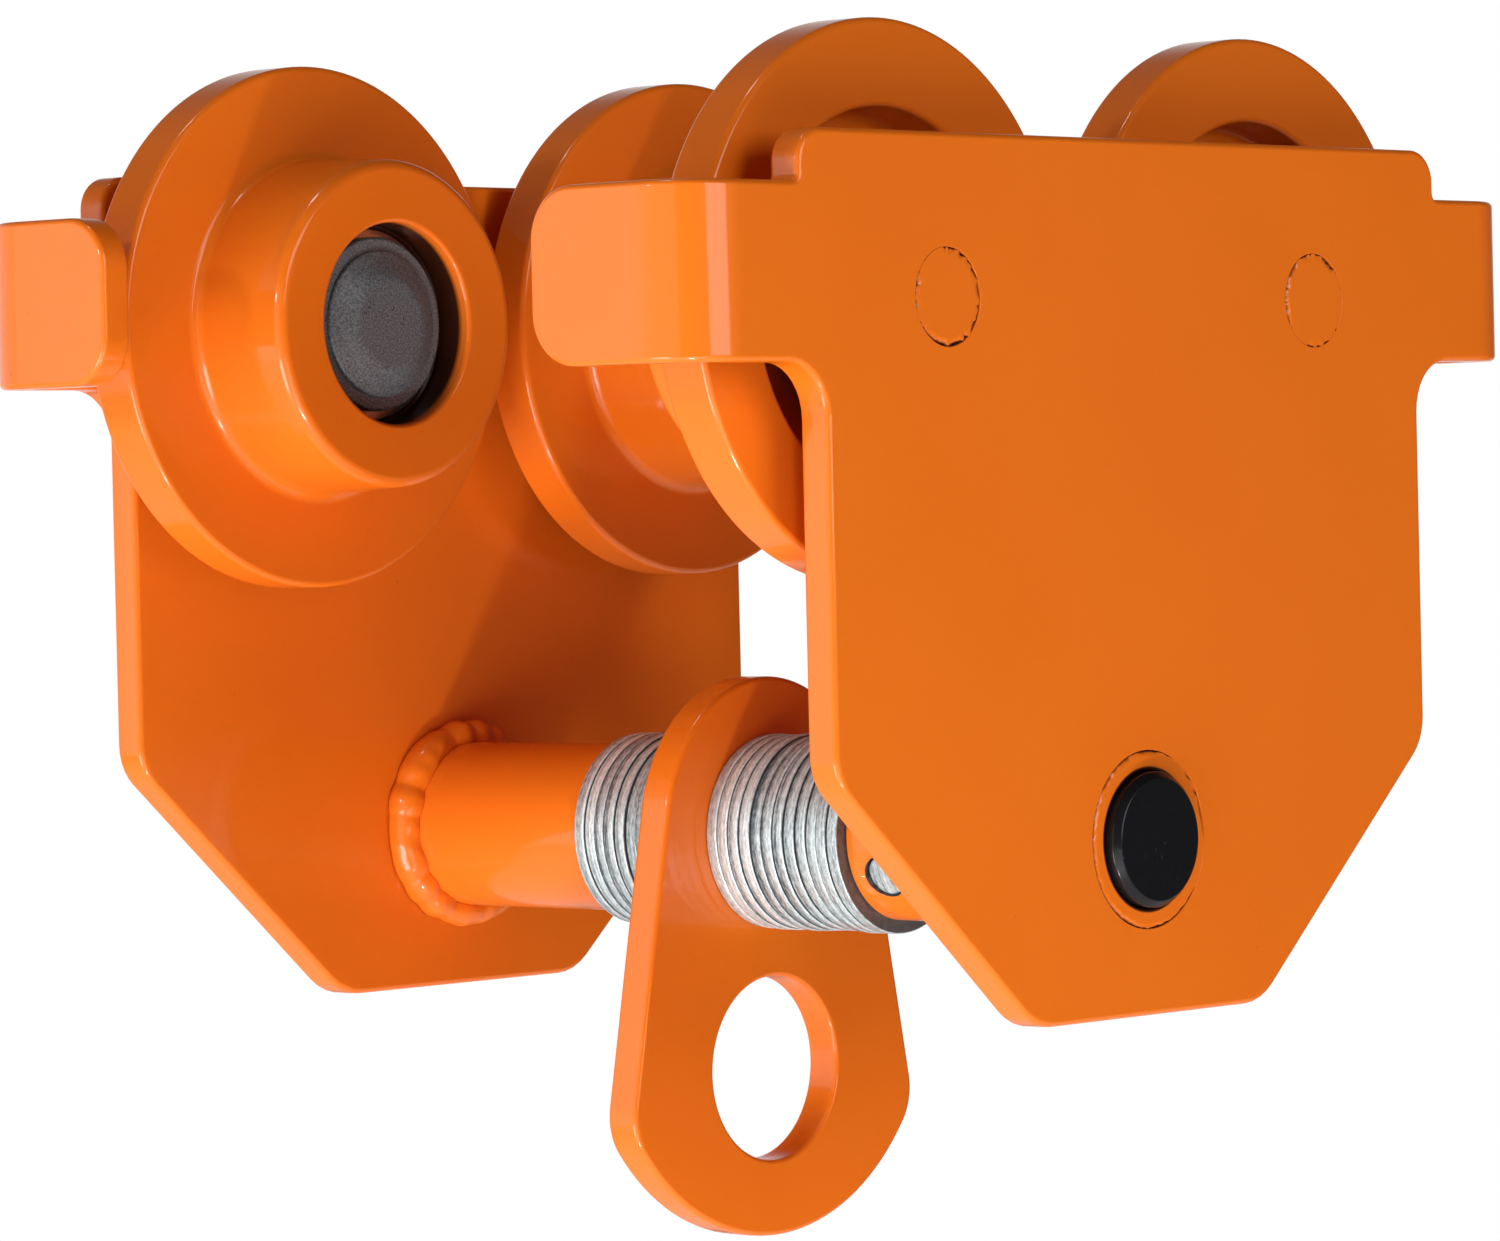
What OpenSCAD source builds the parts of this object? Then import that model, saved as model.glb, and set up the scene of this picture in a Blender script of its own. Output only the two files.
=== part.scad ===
// Push-travel beam trolley for the bottom flange of an I-beam, with a hanging lug on a load bar.
// X runs along the beam, Y across it, +Z is up. The origin is the middle of the running level:
// the height of the wheel treads' lowest line, midway between the side plates.

/* [Side plates] */
// Thickness of each side plate
plate_t = 6.5; // [5:0.1:10]
// Clear distance between the side plates' inner faces
plate_gap = 163; // [158:0.5:170]
// Width of the raised top tab
tab_w = 178.5; // [172:0.5:184]
// Width of the plate below the bumper arms
body_w = 166; // [155:0.5:170]
// Width of the flat bottom edge
foot_w = 64; // [50:1:90]
// Height of the tab's top edge over the running level
tab_top_z = 58; // [52:0.5:65]
// Height of the bumper arms' top edge
arm_top_z = 49; // [45:0.5:50]
// Height of the bumper arms' bottom edge
arm_low_z = 19; // [12:0.5:24]
// Height where the slanted lower sides begin
slant_z = -51; // [-60:0.5:-40]
// Height of the bottom edge
foot_z = -96; // [-104:0.5:-90]

/* [Bumper arms] */
// Distance from the trolley's middle to each arm's outer face
arm_reach = 116.5; // [112:0.5:122]
// Outside radius of the arm's bend
arm_bend_r = 13; // [10:0.5:14]
// How far the bent arm runs in from the plate's outer face
arm_depth = 36; // [30:0.5:38]
// Corner radius of the arm's free end
arm_corner_r = 9; // [4:0.5:12]

/* [Wheels] */
// Distance between the two axles of a side plate
wheelbase = 103; // [101:0.5:106]
// Diameter of the tread where it meets the hub face
tread_d = 60; // [58:0.5:62]
// How much wider the tread is at its root than at the hub face
tread_taper = 2; // [0:0.5:4]
// Diameter of the guiding flange
flange_d = 96.5; // [90:0.5:99]
// Thickness of the guiding flange
flange_t = 10; // [8:0.5:11]
// Length of the tread
tread_l = 21; // [18:0.5:22]
// Distance between the plate and the back of the wheel flange
wheel_standoff = 7; // [6:0.5:10]
// Diameter of the recess in the wheel's back
recess_d = 66; // [56:1:70]
// Diameter of the wheel's open mouth
mouth_d = 37; // [36.5:0.1:39]

/* [Ball bearings] */
// Outside diameter of the bearing
bearing_od = 35; // [35:1:35]
// Bore of the bearing, and the axle that fills it
bearing_id = 17; // [17:1:17]
// Width of the bearing
bearing_w = 10; // [10:1:10]
// Number of balls in each bearing
ball_count = 10; // [7:1:11]

/* [Load bar] */
// Diameter of the load bar
bar_d = 24; // [22:0.5:25]
// How far the bar stands out of each side plate
bar_stub = 2.6; // [1.5:0.1:6]
// Distance from the running level down to the bar's axis
bar_drop = 65; // [62:0.5:68]
// Outside diameter of the sleeves that carry the bar
sleeve_od = 31.5; // [30:0.5:33]
// Diameter of the locking pin through each sleeve
lock_pin_d = 7.6; // [6:0.1:9]

/* [Spacers] */
// Outside diameter of a spacer washer
spacer_od = 36; // [34:0.5:40]
// Thickness of a spacer washer
spacer_t = 2.6; // [2:0.1:3]
// Number of spacer washers on the near side of the lug
near_count = 12; // [9:1:12]
// Number of spacer washers on the far side of the lug
far_count = 10; // [8:1:10]

/* [Lug] */
// Thickness of the hanging lug
lug_t = 7; // [6:0.5:8]
// Radius of the lug's top end, about the bar
lug_top_r = 28.5; // [24:0.5:30]
// Width of the lug across its lower corners
lug_w = 77; // [74:0.5:80]
// Radius of the lug's bottom edge
lug_low_r = 45.5; // [42:0.5:50]
// Radius of the lug's lower corners
lug_corner_r = 11; // [6:0.5:12]
// Distance from the bar's axis down to the lug's bottom edge
lug_drop = 75; // [73:0.5:80]
// Distance from the bar's axis down to the eye
eye_drop = 44; // [42:0.5:48]
// Diameter of the eye
eye_d = 34; // [24:0.5:36]

/* [Hidden] */
$fn = 96;
eps = 0.01;
// Moves a rounding circle off exact tangency, so that it crosses the edges that it joins
nudge = 0.02;

// Side plates
edge_r = 1;
tab_corner_r = 6;
arm_root_r = 9.5;
slant_r = 10;
foot_r = 12;
inner_y = plate_gap / 2;
outer_y = inner_y + plate_t;
arm_inner_r = arm_bend_r - plate_t;
arm_h = arm_top_z - arm_low_z;

// Wheels, measured from the wheel's back (0) towards the beam
axle_z = tread_d / 2;
wheel_y = inner_y - wheel_standoff;
wheel_l = flange_t + tread_l;
race_inset = 7.8;
race_front = wheel_l - race_inset;
race_back = race_front - bearing_w;
lip_l = 3.2;
lip_step = 3;
lip_d = bearing_od - 2 * lip_step;
recess_l = race_back - lip_l;
tread_nose_r = 1.5;

// Bearings
pitch_r = 13;
ball_r = 2.28;
groove_r = 2.4;
inner_land_r = 10.8;
outer_land_r = 15.2;
seal_t = 0.8;
seal_gap = 0.15;
cage_t = 0.9;
cage_w = 5.2;
ball_play = 0.02;

// Axles
head_d = 27;
head_dome = 3.1;
head_rim = 0.7;
head_flat_d = 17;
washer_d = 32;
washer_t = 1.8;
boss_d = 21;
boss_h = 1;
collar_d = 21.6;

// Load bar, sleeves and spacers
bar_r = bar_d / 2;
bar_l = 2 * (outer_y + bar_stub);
bar_chamfer = 1.2;
stack_slack = 0.05;
lug_near_y = 1;
lug_far_y = lug_near_y + lug_t;
near_stack_y = lug_near_y - near_count * (spacer_t + stack_slack) - stack_slack;
far_stack_y = lug_far_y + far_count * (spacer_t + stack_slack) + stack_slack;
spacer_bore_d = bar_d + 0.5;
lock_pin_depth = 7;
lock_pin_l = sleeve_od / 2 - bar_r + lock_pin_depth;
lock_pin_angle = 27;
lock_pin_crown = 0.5;
lock_pin_inset = 7.5;
weld_leg = 5;
weld_toe = 1.6;
weld_round = 1;

// Lug
lug_arc_z = lug_low_r - lug_drop;
lug_corner_x = lug_w / 2 - lug_corner_r;
lug_corner_z = lug_arc_z - sqrt(pow(lug_low_r - lug_corner_r, 2) - pow(lug_corner_x, 2));
lug_fit = 0.08;

PAINT = "darkorange";
STEEL = "silver";
DARK = "dimgray";

function unit(v) = v / norm(v);

// Side 1 is the near plate (-Y), side -1 the far one: a turn about Z makes one from the other.
module on_side(side) {
    rotate([0, 0, side > 0 ? 0 : 180]) children();
}

// Wheels 1 and 2 are on the near plate, 3 and 4 on the far plate.
module at_axle(i) {
    on_side(i < 3 ? 1 : -1)
        translate([(i % 2 == 1 ? -1 : 1) * wheelbase / 2, -wheel_y, axle_z])
            rotate([-90, 0, 0]) children();
}

// ---- Side plates -------------------------------------------------------------------------

// Right half of a side plate's outline in the XZ plane, with square corners
module half_outline() {
    polygon([[0, foot_z], [foot_w / 2, foot_z], [body_w / 2, slant_z], [body_w / 2, arm_low_z],
             [arm_reach - arm_bend_r, arm_low_z], [arm_reach - arm_bend_r, arm_top_z],
             [tab_w / 2, arm_top_z], [tab_w / 2, tab_top_z], [0, tab_top_z]]);
}

// Cuts a convex corner at p, between unit directions a and b along its edges, to radius r
module round_corner(p, a, b, r) {
    half = acos(a * b) / 2;
    reach = r / tan(half);
    middle = (a + b) / norm(a + b);
    difference() {
        polygon([p - middle * eps, p + a * reach, p + middle * (r / sin(half)), p + b * reach]);
        translate(p + middle * (r / sin(half) - nudge)) circle(r = r);
    }
}

module plate_outline() {
    slant_low = [foot_w / 2, foot_z];
    slant_high = [body_w / 2, slant_z];
    along = unit(slant_high - slant_low);
    for (m = [0, 1]) mirror([m, 0]) difference() {
        union() {
            half_outline();
            difference() {
                translate([body_w / 2 - eps, arm_low_z - arm_root_r])
                    square([arm_root_r + eps, arm_root_r + eps]);
                translate([body_w / 2 + arm_root_r - nudge, arm_low_z - arm_root_r + nudge])
                    circle(r = arm_root_r);
            }
        }
        round_corner([tab_w / 2, tab_top_z], [-1, 0], [0, -1], tab_corner_r);
        round_corner(slant_high, [0, 1], -along, slant_r);
        round_corner(slant_low, along, [-1, 0], foot_r);
    }
}

module bumper_arm() {
    leg_l = arm_depth - arm_bend_r;
    translate([arm_reach - arm_bend_r, -outer_y + arm_bend_r, arm_low_z])
        rotate([0, 0, -90]) rotate_extrude(angle = 90)
            translate([arm_inner_r, 0]) square([plate_t, arm_h]);
    translate([arm_reach - plate_t, -outer_y + arm_bend_r, arm_low_z])
        rotate([90, 0, 90]) linear_extrude(plate_t) difference() {
            square([leg_l, arm_h]);
            round_corner([leg_l, 0], [-1, 0], [0, 1], arm_corner_r);
            round_corner([leg_l, arm_h], [-1, 0], [0, -1], arm_corner_r);
        }
}

module side_plate(side) {
    color(PAINT) on_side(side) difference() {
        union() {
            translate([0, -inner_y, 0]) rotate([90, 0, 0]) linear_extrude(plate_t) plate_outline();
            for (m = [0, 1]) mirror([m, 0, 0]) bumper_arm();
        }
        for (x = [-wheelbase / 2, wheelbase / 2])
            translate([x, -outer_y - 1, axle_z]) rotate([-90, 0, 0])
                cylinder(d = bearing_id, h = plate_t + 2);
        translate([0, -outer_y - 1, -bar_drop]) rotate([-90, 0, 0])
            cylinder(d = sleeve_od, h = plate_t + 2);
    }
}

// ---- Wheels and axles --------------------------------------------------------------------

module wheel(i) {
    root_r = (tread_d + tread_taper) / 2;
    flange_r = flange_d / 2;
    tip_r = tread_d / 2;
    color(PAINT) at_axle(i) rotate_extrude()
        polygon([[lip_d / 2, recess_l], [recess_d / 2, recess_l], [recess_d / 2, 0],
                 [flange_r - edge_r, 0], [flange_r, edge_r], [flange_r, flange_t - edge_r],
                 [flange_r - edge_r, flange_t], [root_r, flange_t],
                 [tip_r, wheel_l - tread_nose_r], [tip_r - tread_nose_r, wheel_l],
                 [mouth_d / 2, wheel_l], [mouth_d / 2, race_front],
                 [bearing_od / 2, race_front], [bearing_od / 2, race_back],
                 [lip_d / 2, race_back]]);
}

module axle(i) {
    shank_end = -(wheel_standoff + plate_t);
    head_base = race_front + boss_h + washer_t;
    color(DARK) at_axle(i) {
        translate([0, 0, shank_end]) cylinder(d = bearing_id, h = head_base - shank_end + eps);
        translate([0, 0, head_base]) rotate_extrude()
            polygon([[0, 0], [head_d / 2, 0], [head_d / 2, head_rim],
                     [head_flat_d / 2, head_dome], [0, head_dome]]);
    }
}

// Retaining washer under the axle's head; its boss bears on the inner race alone
module head_washer(i) {
    color(DARK) at_axle(i) translate([0, 0, race_front]) difference() {
        union() {
            cylinder(d = boss_d, h = boss_h + eps);
            translate([0, 0, boss_h]) cylinder(d = washer_d, h = washer_t);
        }
        translate([0, 0, -1]) cylinder(d = bearing_id, h = boss_h + washer_t + 2);
    }
}

module axle_collar(i) {
    color(STEEL) at_axle(i) translate([0, 0, -wheel_standoff]) difference() {
        cylinder(d = collar_d, h = wheel_standoff + race_back);
        translate([0, 0, -1]) cylinder(d = bearing_id, h = wheel_standoff + race_back + 2);
    }
}

// ---- Ball bearings -----------------------------------------------------------------------

// A race between two radii, with a groove for the balls
module race(i, low_r, high_r) {
    color(STEEL) at_axle(i) translate([0, 0, race_back]) rotate_extrude() difference() {
        translate([low_r, 0]) square([high_r - low_r, bearing_w]);
        translate([pitch_r, bearing_w / 2]) circle(r = groove_r, $fn = 48);
    }
}

module balls(i) {
    color(STEEL) at_axle(i) translate([0, 0, race_back + bearing_w / 2])
        for (k = [0 : ball_count - 1]) rotate([0, 0, k * 360 / ball_count])
            translate([pitch_r, 0, 0]) sphere(r = ball_r, $fn = 32);
}

// A ribbon cage: one ring with a pocket for every ball, which it holds
module ball_cage(i) {
    color("goldenrod") at_axle(i) translate([0, 0, race_back + bearing_w / 2]) difference() {
        rotate_extrude() translate([pitch_r, 0]) square([cage_t, cage_w], center = true);
        for (k = [0 : ball_count - 1]) rotate([0, 0, k * 360 / ball_count])
            translate([pitch_r, 0, 0]) rotate([0, 90, 0])
                cylinder(r = ball_r - ball_play, h = 4 * cage_t, center = true, $fn = 32);
    }
}

module seal(i, z) {
    color("black") at_axle(i) translate([0, 0, z]) difference() {
        cylinder(r = outer_land_r, h = seal_t);
        translate([0, 0, -1]) cylinder(r = inner_land_r + seal_gap, h = seal_t + 2);
    }
}

// ---- Load bar group ----------------------------------------------------------------------

module along_bar(y) {
    translate([0, y, -bar_drop]) rotate([-90, 0, 0]) children();
}

module load_bar() {
    color([0.1, 0.1, 0.11]) difference() {
        along_bar(-bar_l / 2) {
            cylinder(r1 = bar_r - bar_chamfer, r2 = bar_r, h = bar_chamfer);
            translate([0, 0, bar_chamfer]) cylinder(r = bar_r, h = bar_l - 2 * bar_chamfer);
            translate([0, 0, bar_l - bar_chamfer])
                cylinder(r1 = bar_r, r2 = bar_r - bar_chamfer, h = bar_chamfer);
        }
        for (side = [1, -1]) pin_place(side) cylinder(d = lock_pin_d, h = 2 * bar_r);
    }
}

// Places the locking pin's axis: z = 0 is its inner end, and z grows outwards through the sleeve
module pin_place(side) {
    on_side(side) translate([0, near_stack_y - lock_pin_inset, -bar_drop])
        rotate([0, -90 - lock_pin_angle, 0]) translate([0, 0, bar_r - lock_pin_depth]) children();
}

module lock_pin(side) {
    color(STEEL) pin_place(side) {
        cylinder(d = lock_pin_d, h = lock_pin_l - lock_pin_crown);
        translate([0, 0, lock_pin_l - lock_pin_crown])
            cylinder(d1 = lock_pin_d, d2 = lock_pin_d - 4 * lock_pin_crown, h = lock_pin_crown);
    }
}

// The near sleeve reaches the near spacers, the far one the far spacers
function sleeve_l(side) = outer_y - (side > 0 ? -near_stack_y : far_stack_y);

module sleeve(side) {
    color(PAINT) difference() {
        on_side(side) along_bar(-outer_y) difference() {
            cylinder(d = sleeve_od, h = sleeve_l(side));
            translate([0, 0, -1]) cylinder(r = bar_r, h = sleeve_l(side) + 2);
        }
        pin_place(side) cylinder(d = lock_pin_d, h = 2 * bar_r);
    }
}

module weld(side) {
    color(PAINT) on_side(side) along_bar(-inner_y) rotate_extrude() translate([sleeve_od / 2, 0])
        polygon([[0, 0], [weld_leg, 0], [weld_leg - weld_round, weld_toe],
                 [weld_toe, weld_leg - weld_round], [0, weld_leg]]);
}

// A stack of washers that starts at y and grows along the bar
module spacers(y, count, direction) {
    color(STEEL) for (k = [0 : count - 1])
        along_bar(y + direction * (stack_slack + k * (spacer_t + stack_slack))
                  - (direction < 0 ? spacer_t : 0)) difference() {
            cylinder(d = spacer_od, h = spacer_t);
            translate([0, 0, -1]) cylinder(d = spacer_bore_d, h = spacer_t + 2);
        }
}

// ---- Hanging lug -------------------------------------------------------------------------

// Outline round the bar: one circle above, a flat arc below, and a corner circle at each end of it
module lug_outline() {
    hull() {
        circle(r = lug_top_r);
        for (x = [-lug_corner_x, lug_corner_x]) translate([x, lug_corner_z]) circle(r = lug_corner_r);
        intersection() {
            translate([0, lug_arc_z]) circle(r = lug_low_r);
            translate([-lug_corner_x, -lug_drop]) square([2 * lug_corner_x, lug_drop + lug_corner_z]);
        }
    }
}

module hanging_lug() {
    color(PAINT) difference() {
        translate([0, lug_far_y, -bar_drop]) rotate([90, 0, 0]) linear_extrude(lug_t) lug_outline();
        along_bar(lug_near_y - 1) cylinder(r = bar_r + lug_fit, h = lug_t + 2);
        translate([0, lug_near_y - 1, -bar_drop - eye_drop]) rotate([-90, 0, 0])
            cylinder(d = eye_d, h = lug_t + 2);
    }
}

side_plate(1);  // side_plate_near
side_plate(-1);  // side_plate_far
sleeve(1);  // sleeve_near
sleeve(-1);  // sleeve_far
weld(1);  // weld_near
weld(-1);  // weld_far
load_bar();
lock_pin(1);  // lock_pin_near
lock_pin(-1);  // lock_pin_far
hanging_lug();
spacers(lug_near_y, near_count, -1);  // spacers_near
spacers(lug_far_y, far_count, 1);  // spacers_far
for (i = [1 : 4]) {
    wheel(i);
    axle(i);
    head_washer(i);
    axle_collar(i);
    race(i, outer_land_r, bearing_od / 2);
    race(i, bearing_id / 2, inner_land_r);
    balls(i);
    ball_cage(i);
    seal(i, race_front - seal_t);
    seal(i, race_back);
}
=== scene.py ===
"""Looks of a push-travel beam trolley: painted side plates, flanged wheels, a load bar and its lug.

Lengths are in metres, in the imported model's own frame: X along the beam, Y across it, +Z up,
with the origin at the running level, midway between the side plates.
"""

import logging
import math
from collections.abc import Callable
from dataclasses import dataclass, field
from enum import Enum

import bmesh
import bpy
import numpy as np
from mathutils import Matrix, Vector, noise
from mathutils.geometry import delaunay_2d_cdt


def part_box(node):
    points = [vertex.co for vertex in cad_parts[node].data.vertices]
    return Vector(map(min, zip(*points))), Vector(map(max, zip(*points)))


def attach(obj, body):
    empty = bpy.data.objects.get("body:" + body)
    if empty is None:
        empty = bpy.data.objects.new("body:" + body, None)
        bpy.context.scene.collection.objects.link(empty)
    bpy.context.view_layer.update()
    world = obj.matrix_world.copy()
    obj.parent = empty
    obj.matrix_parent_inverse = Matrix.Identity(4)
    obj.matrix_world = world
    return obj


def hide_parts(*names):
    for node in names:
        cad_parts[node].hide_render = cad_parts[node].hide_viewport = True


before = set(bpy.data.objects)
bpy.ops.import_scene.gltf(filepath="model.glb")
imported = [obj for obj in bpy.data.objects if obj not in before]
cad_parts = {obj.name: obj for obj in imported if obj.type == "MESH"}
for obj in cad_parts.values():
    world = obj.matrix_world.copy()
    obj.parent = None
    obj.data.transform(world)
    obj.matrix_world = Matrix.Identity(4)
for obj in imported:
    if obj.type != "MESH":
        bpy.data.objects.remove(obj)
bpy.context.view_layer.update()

log = logging.getLogger("beam_trolley")

Point = tuple[float, float]
Loop = list[Point]
Colour = tuple[float, float, float]
Solid = tuple[list[Vector], list[tuple[int, ...]]]
Rule = Callable[[float, float, float], tuple[float, float]]
Mark = Callable[[Vector], float]

FULL_TURN = 2 * math.pi


class Side(Enum):
    """The two side assemblies. Turning one half round about Z gives the other."""

    NEAR = "near"
    FAR = "far"

    @property
    def turn(self) -> Matrix:
        """The turn about Z that takes the near side's shape to this side."""
        return Matrix.Rotation(0.0 if self is Side.NEAR else math.pi, 4, "Z")


# ---- Outlines ----------------------------------------------------------------------------


@dataclass(frozen=True)
class Corner:
    """One corner of an outline and the radius it is rounded to."""

    x: float
    y: float
    radius: float = 0.0


def round_corners(corners: list[Corner], closed: bool = True, per_quarter: int = 8) -> Loop:
    """Joins corners by straight lines and rounds each one.

    Args:
        corners: the corners in order.
        closed: whether the last corner joins the first.
        per_quarter: how many steps a quarter turn takes.

    Returns:
        The points of the outline.
    """
    points: Loop = []
    count = len(corners)
    for i, corner in enumerate(corners):
        here = Vector((corner.x, corner.y))
        if corner.radius == 0 or (not closed and i in (0, count - 1)):
            points.append((corner.x, corner.y))
            continue
        before = (Vector((corners[i - 1].x, corners[i - 1].y)) - here).normalized()
        follow = corners[(i + 1) % count]
        after = (Vector((follow.x, follow.y)) - here).normalized()
        half = before.angle(after) / 2
        middle = here + (before + after).normalized() * corner.radius / math.sin(half)
        start = here + before * corner.radius / math.tan(half) - middle
        end = here + after * corner.radius / math.tan(half) - middle
        turn = start.angle_signed(end)
        steps = max(2, math.ceil(abs(turn) / (math.pi / 2) * per_quarter))
        for k in range(steps + 1):
            arm = start.copy()
            arm.rotate(Matrix.Rotation(-turn * k / steps, 2))
            points.append(tuple(middle + arm))
    return points


def belt(circles: list[tuple[Point, float]], step: float = math.radians(3)) -> Loop:
    """Runs a tight belt anticlockwise round circles, each given by its centre and radius.

    Args:
        circles: the circles in the order the belt meets them.
        step: the largest angle between two points of an arc.

    Returns:
        The belt's points.
    """
    normals = []
    for i, (centre, radius) in enumerate(circles):
        next_centre, next_radius = circles[(i + 1) % len(circles)]
        way = Vector(next_centre) - Vector(centre)
        lean = max(-1.0, min(1.0, (radius - next_radius) / way.length))
        way.normalize()
        normals.append(way * lean + Vector((way.y, -way.x)) * math.sqrt(1 - lean * lean))
    points: Loop = []
    for i, (centre, radius) in enumerate(circles):
        first = math.atan2(normals[i - 1].y, normals[i - 1].x)
        sweep = (math.atan2(normals[i].y, normals[i].x) - first) % FULL_TURN
        steps = max(1, math.ceil(sweep / step))
        for k in range(steps + 1):
            angle = first + sweep * k / steps
            points.append((centre[0] + radius * math.cos(angle), centre[1] + radius * math.sin(angle)))
    return points


def circle_loop(x: float, y: float, radius: float, steps: int = 96) -> Loop:
    """A clockwise circle, as the edge of a hole has it."""
    turns = [-FULL_TURN * k / steps for k in range(steps)]
    return [(x + radius * math.cos(t), y + radius * math.sin(t)) for t in turns]


def without_repeats(loop: Loop, gap: float = 1e-6) -> Loop:
    """The loop's points with those that lie on the one before taken out."""
    return [p for i, p in enumerate(loop) if math.dist(p, loop[i - 1]) > gap]


def cut_across(loop: Loop, places: list[float]) -> Loop:
    """Adds a point wherever a closed loop crosses one of the given X places."""
    cut: Loop = []
    for i, (x0, y0) in enumerate(loop):
        x1, y1 = loop[(i + 1) % len(loop)]
        cut.append((x0, y0))
        inside = [p for p in places if min(x0, x1) + 1e-7 < p < max(x0, x1) - 1e-7]
        for p in sorted(inside, reverse=x1 < x0):
            cut.append((p, y0 + (y1 - y0) * (p - x0) / (x1 - x0)))
    return cut


# ---- Meshes ------------------------------------------------------------------------------


def even_normals(mesh: bpy.types.Mesh) -> None:
    """Gives each point the mean of its faces' normals by area, so flats stay flat beside rounded edges."""
    normals = [Vector() for _ in mesh.vertices]
    for face in mesh.polygons:
        share = face.normal * face.area
        for index in face.vertices:
            normals[index] += share
    mesh.shade_smooth()
    mesh.normals_split_custom_set_from_vertices([tuple(n.normalized()) for n in normals])


def make_piece(
    name: str,
    points: list[Vector],
    faces: list[tuple[int, ...]],
    material: bpy.types.Material,
    marks: dict[str, list[float]] | None = None,
) -> bpy.types.Object:
    """Makes one closed piece and links it to the scene.

    Args:
        name: the piece's name.
        points: its points, in the row frame.
        faces: its faces, as indices of points.
        material: its finish.
        marks: named numbers for each point, which the finish may read.

    Returns:
        The new object, at the origin.
    """
    mesh = bpy.data.meshes.new(name)
    mesh.from_pydata([tuple(p) for p in points], [], faces)
    for title, values in (marks or {}).items():
        mesh.attributes.new(title, "FLOAT", "POINT").data.foreach_set("value", values)
    work = bmesh.new()
    work.from_mesh(mesh)
    bmesh.ops.remove_doubles(work, verts=work.verts, dist=1e-7)
    bmesh.ops.dissolve_degenerate(work, edges=work.edges, dist=1e-7)
    bmesh.ops.recalc_face_normals(work, faces=work.faces)
    if work.calc_volume(signed=True) < 0:
        bmesh.ops.reverse_faces(work, faces=work.faces)
    work.to_mesh(mesh)
    work.free()
    mesh.materials.append(material)
    even_normals(mesh)
    piece = bpy.data.objects.new(name, mesh)
    bpy.context.scene.collection.objects.link(piece)
    return piece


def lathe(profile: Loop, place: Matrix, steps: int, shape: Rule | None = None) -> Solid:
    """Turns a profile of (radius, height) points about the local Y axis.

    Args:
        profile: a closed loop off the axis, or a path whose two ends lie on the axis.
        place: takes the turned shape to the row frame.
        steps: how many steps a full turn takes.
        shape: changes a point's (radius, height) by its (radius, height, angle).

    Returns:
        The points and faces.
    """
    on_axis = profile[0][0] < 1e-9
    rims = profile[1:-1] if on_axis else profile
    points: list[Vector] = []
    for k in range(steps):
        angle = FULL_TURN * k / steps
        for radius, height in rims:
            if shape:
                radius, height = shape(radius, height, angle)
            points.append(place @ Vector((radius * math.cos(angle), height, radius * math.sin(angle))))
    size = len(rims)
    faces: list[tuple[int, ...]] = []
    for k in range(steps):
        this, that = k * size, (k + 1) % steps * size
        spans = size - 1 if on_axis else size
        for i in range(spans):
            j = (i + 1) % size
            faces.append((this + i, this + j, that + j, that + i))
    if on_axis:
        for end, (radius, height) in ((0, profile[0]), (size - 1, profile[-1])):
            hub = len(points)
            points.append(place @ Vector((0.0, height, 0.0)))
            for k in range(steps):
                faces.append((k * size + end, (k + 1) % steps * size + end, hub))
    return points, faces


def turned_piece(
    name: str,
    profile: Loop,
    place: Matrix,
    steps: int,
    material: bpy.types.Material,
    shape: Rule | None = None,
    dirt_and_shade: Mark | None = None,
) -> bpy.types.Object:
    """Turns a profile and makes a piece of it.

    Args:
        name: the piece's name.
        profile: what lathe turns.
        place: takes the turned shape to the row frame.
        steps: how many steps a full turn takes.
        material: its finish.
        shape: changes a point's (radius, height) by its (radius, height, angle).
        dirt_and_shade: how dark a point is, by its place before it was moved to the row frame: dark
            joints, and painted shade in mouths and gaps.

    Returns:
        The new object, at the origin.
    """
    points, faces = lathe(profile, place, steps, shape)
    marks = None
    if dirt_and_shade:
        back = place.inverted()
        marks = {"dirt_and_shade": [dirt_and_shade(back @ p) for p in points]}
    return make_piece(name, points, faces, material, marks)


def bake(piece: bpy.types.Object, modifier: bpy.types.Modifier) -> None:
    """Keeps what a modifier makes of a piece as its plain mesh, and takes the modifier off."""
    graph = bpy.context.evaluated_depsgraph_get()
    made = bpy.data.meshes.new_from_object(piece.evaluated_get(graph), depsgraph=graph)
    piece.modifiers.remove(modifier)
    made.name = piece.name
    piece.data = made
    even_normals(made)


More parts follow.
